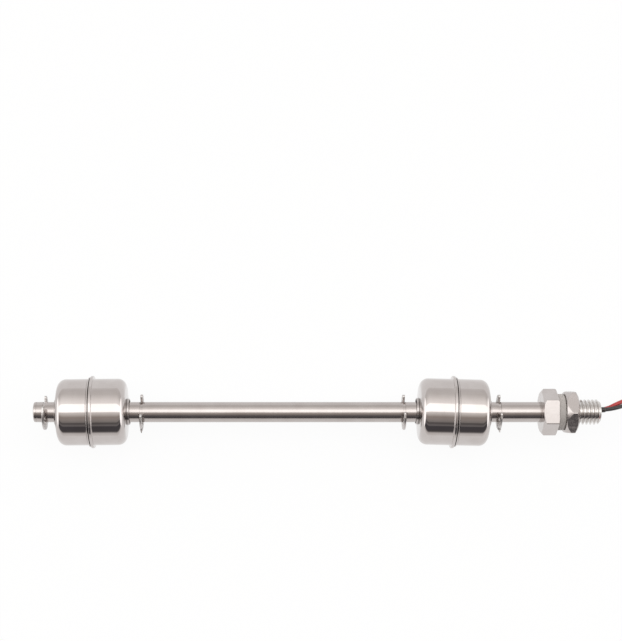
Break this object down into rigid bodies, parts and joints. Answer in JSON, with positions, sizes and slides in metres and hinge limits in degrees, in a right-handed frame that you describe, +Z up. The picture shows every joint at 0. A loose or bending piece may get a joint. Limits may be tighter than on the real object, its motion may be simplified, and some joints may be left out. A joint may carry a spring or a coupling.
{
  "type": "float level switch",
  "caption": "Metal stem with magnetic floats that slide between clips to work sealed reed switches, with a hexagonal threaded head, gasket, lock nut and lead wires.",
  "frame": {"origin": "centre of the hexagon head's sealing face, on the stem's axis", "axes": "+X along the stem towards the thread and the wires, +Z up from the surface that the floats rest on"},
  "size_m": [0.2811, 0.0309, 0.0286],
  "materials": {
    "stem_steel": "satin drawn stainless steel",
    "head_steel": "turned stainless steel",
    "nut_steel": "bright stainless steel",
    "clip_steel": "stamped stainless steel",
    "float_steel": "polished stainless steel",
    "magnet_ferrite": "sintered ferrite",
    "gasket_rubber": "matt grey rubber",
    "circuit_board": "green circuit board",
    "sleeve_plastic": "thin clear sleeve",
    "reed_glass": "green tinted glass",
    "reed_metal": "plated nickel iron",
    "potting_resin": "cast epoxy resin",
    "red_insulation": "red wire insulation",
    "black_insulation": "black wire insulation",
    "tie_plastic": "white tie",
    "tinned_copper": "tinned copper strands"
  },
  "bodies": {
    "stem": {"stem_tube": "stem_steel", "tip_plug": "stem_steel", "threaded_head": "head_steel", "retaining_clip_1": "clip_steel", "retaining_clip_2": "clip_steel", "retaining_clip_3": "clip_steel", "retaining_clip_4": "clip_steel", "circuit_strip": "circuit_board", "insulating_sleeve": "sleeve_plastic", "lower_reed_glass": "reed_glass", "lower_reed_lower_blade": "reed_metal", "lower_reed_upper_blade": "reed_metal", "upper_reed_glass": "reed_glass", "upper_reed_lower_blade": "reed_metal", "upper_reed_upper_blade": "reed_metal", "potting": "potting_resin", "red_inner_lead": "red_insulation", "black_inner_lead": "black_insulation", "red_wire": "red_insulation", "black_wire": "black_insulation", "wire_coil": "black_insulation", "coil_tie": "tie_plastic", "red_wire_tail": "red_insulation", "black_wire_tail": "black_insulation", "red_bare_end": "tinned_copper", "black_bare_end": "tinned_copper"},
    "lower_float": {"lower_float_bottom_shell": "float_steel", "lower_float_top_shell": "float_steel", "lower_float_core_tube": "float_steel", "lower_float_magnet": "magnet_ferrite"},
    "upper_float": {"upper_float_bottom_shell": "float_steel", "upper_float_top_shell": "float_steel", "upper_float_core_tube": "float_steel", "upper_float_magnet": "magnet_ferrite"},
    "gasket": {"sealing_gasket": "gasket_rubber"},
    "nut": {"lock_nut": "nut_steel"}
  },
  "joints": [
    {"name": "lower_float_slide", "type": "slide", "parent": "stem", "child": "lower_float", "axis": [1, 0, 0], "range_m": [-0.0035, 0.0041]},
    {"name": "upper_float_slide", "type": "slide", "parent": "stem", "child": "upper_float", "axis": [1, 0, 0], "range_m": [-0.0041, 0.0028]},
    {"name": "gasket_slide", "type": "slide", "parent": "stem", "child": "gasket", "axis": [1, 0, 0], "range_m": [0, 0.009]},
    {"name": "nut_turn", "type": "hinge", "parent": "gasket", "child": "nut", "pos_m": [0.0055, 0, 0], "axis": [1, 0, 0], "range_deg": [0, 2160]}
  ],
  "couplings": [
    {"joint": "gasket_slide", "follows": "nut_turn", "m_per_rad": 0.00023873}
  ]
}
